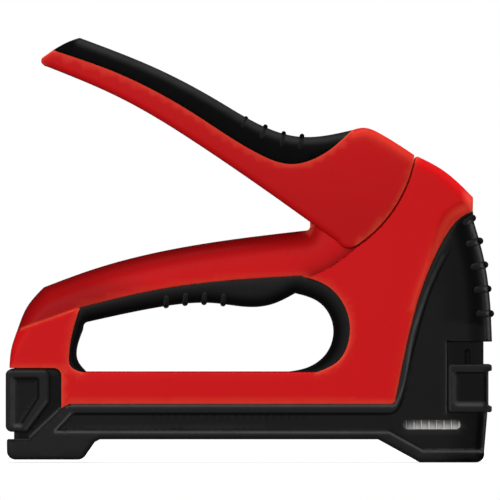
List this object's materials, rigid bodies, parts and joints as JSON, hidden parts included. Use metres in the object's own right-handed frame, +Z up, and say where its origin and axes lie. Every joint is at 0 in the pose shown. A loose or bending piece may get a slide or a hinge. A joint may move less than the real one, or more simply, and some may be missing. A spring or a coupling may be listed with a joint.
{
  "type": "staple gun",
  "caption": "Hand staple gun with a squeeze lever, sprung striker, drawer magazine and sliding wire guide, in red and black plastic.",
  "frame": {"origin": "where the staple leaves: the sole of the nose, on the tool's mid-plane, under the striker blade", "axes": "+X along the tool to its nose, +Z up through the handle, +Y to the tool's left side"},
  "size_m": [0.1949, 0.031, 0.1694],
  "materials": {
    "red_shell": "semi-gloss moulded red plastic",
    "black_shell": "satin moulded black plastic",
    "black_rubber": "soft black over-moulding",
    "steel": "satin rolled steel",
    "dark_steel": "oiled dark steel",
    "spring_steel": "drawn spring wire",
    "white_plastic": "grey insulated staple caps on steel wire"
  },
  "bodies": {
    "housing": {"body_shell_right": "red_shell", "body_shell_left": "red_shell", "base_housing_right": "black_shell", "base_housing_left": "black_shell", "body_screws": "dark_steel", "base_screws": "dark_steel", "hand_liner": "black_rubber", "front_grip": "black_rubber", "lever_pivot_pin": "steel", "power_spring": "spring_steel", "spring_seat": "black_shell", "striker_bumper": "black_rubber", "striker_guide_right": "steel", "striker_guide_left": "steel", "nose_plate": "steel", "magazine_channel": "steel", "staple_rail": "steel", "staple_strip": "white_plastic"},
    "lever": {"lever_shell": "red_shell", "lever_grip": "black_rubber", "lever_core": "steel", "lever_core_pins": "steel", "lift_pin": "steel", "lift_bush": "dark_steel"},
    "striker": {"lift_yoke": "steel", "striker_carriage": "dark_steel", "striker_blade": "steel"},
    "wire_guide": {"wire_guide_slider": "black_shell", "wire_guide_foot": "steel"},
    "drawer": {"magazine_latch": "black_shell", "pusher_rod": "steel", "pusher_spring": "spring_steel"},
    "pusher": {"staple_pusher": "dark_steel"}
  },
  "joints": [
    {"name": "lever_squeeze", "type": "hinge", "parent": "housing", "child": "lever", "pos_m": [-0.0568, 0, 0.1048], "axis": [0, -1, 0], "range_deg": [0, 36], "stiffness_Nm_per_rad": 1.2, "springref_deg": -8.59},
    {"name": "striker_lift", "type": "slide", "parent": "housing", "child": "striker", "axis": [0, 0, 1], "range_m": [0, 0.0201], "deforming": ["power_spring"]},
    {"name": "wire_guide_slide", "type": "slide", "parent": "housing", "child": "wire_guide", "axis": [0, 0, 1], "range_m": [0, 0.009]},
    {"name": "magazine_slide", "type": "slide", "parent": "housing", "child": "drawer", "axis": [-1, 0, 0], "range_m": [0, 0.13]},
    {"name": "pusher_slide", "type": "slide", "parent": "drawer", "child": "pusher", "axis": [-1, 0, 0], "range_m": [0, 0.05], "stiffness_N_per_m": 30, "springref_m": -0.03, "deforming": ["pusher_spring"]}
  ],
  "couplings": [
    {"joint": "striker_lift", "follows": "lever_squeeze", "m_per_rad": 0.031869}
  ]
}
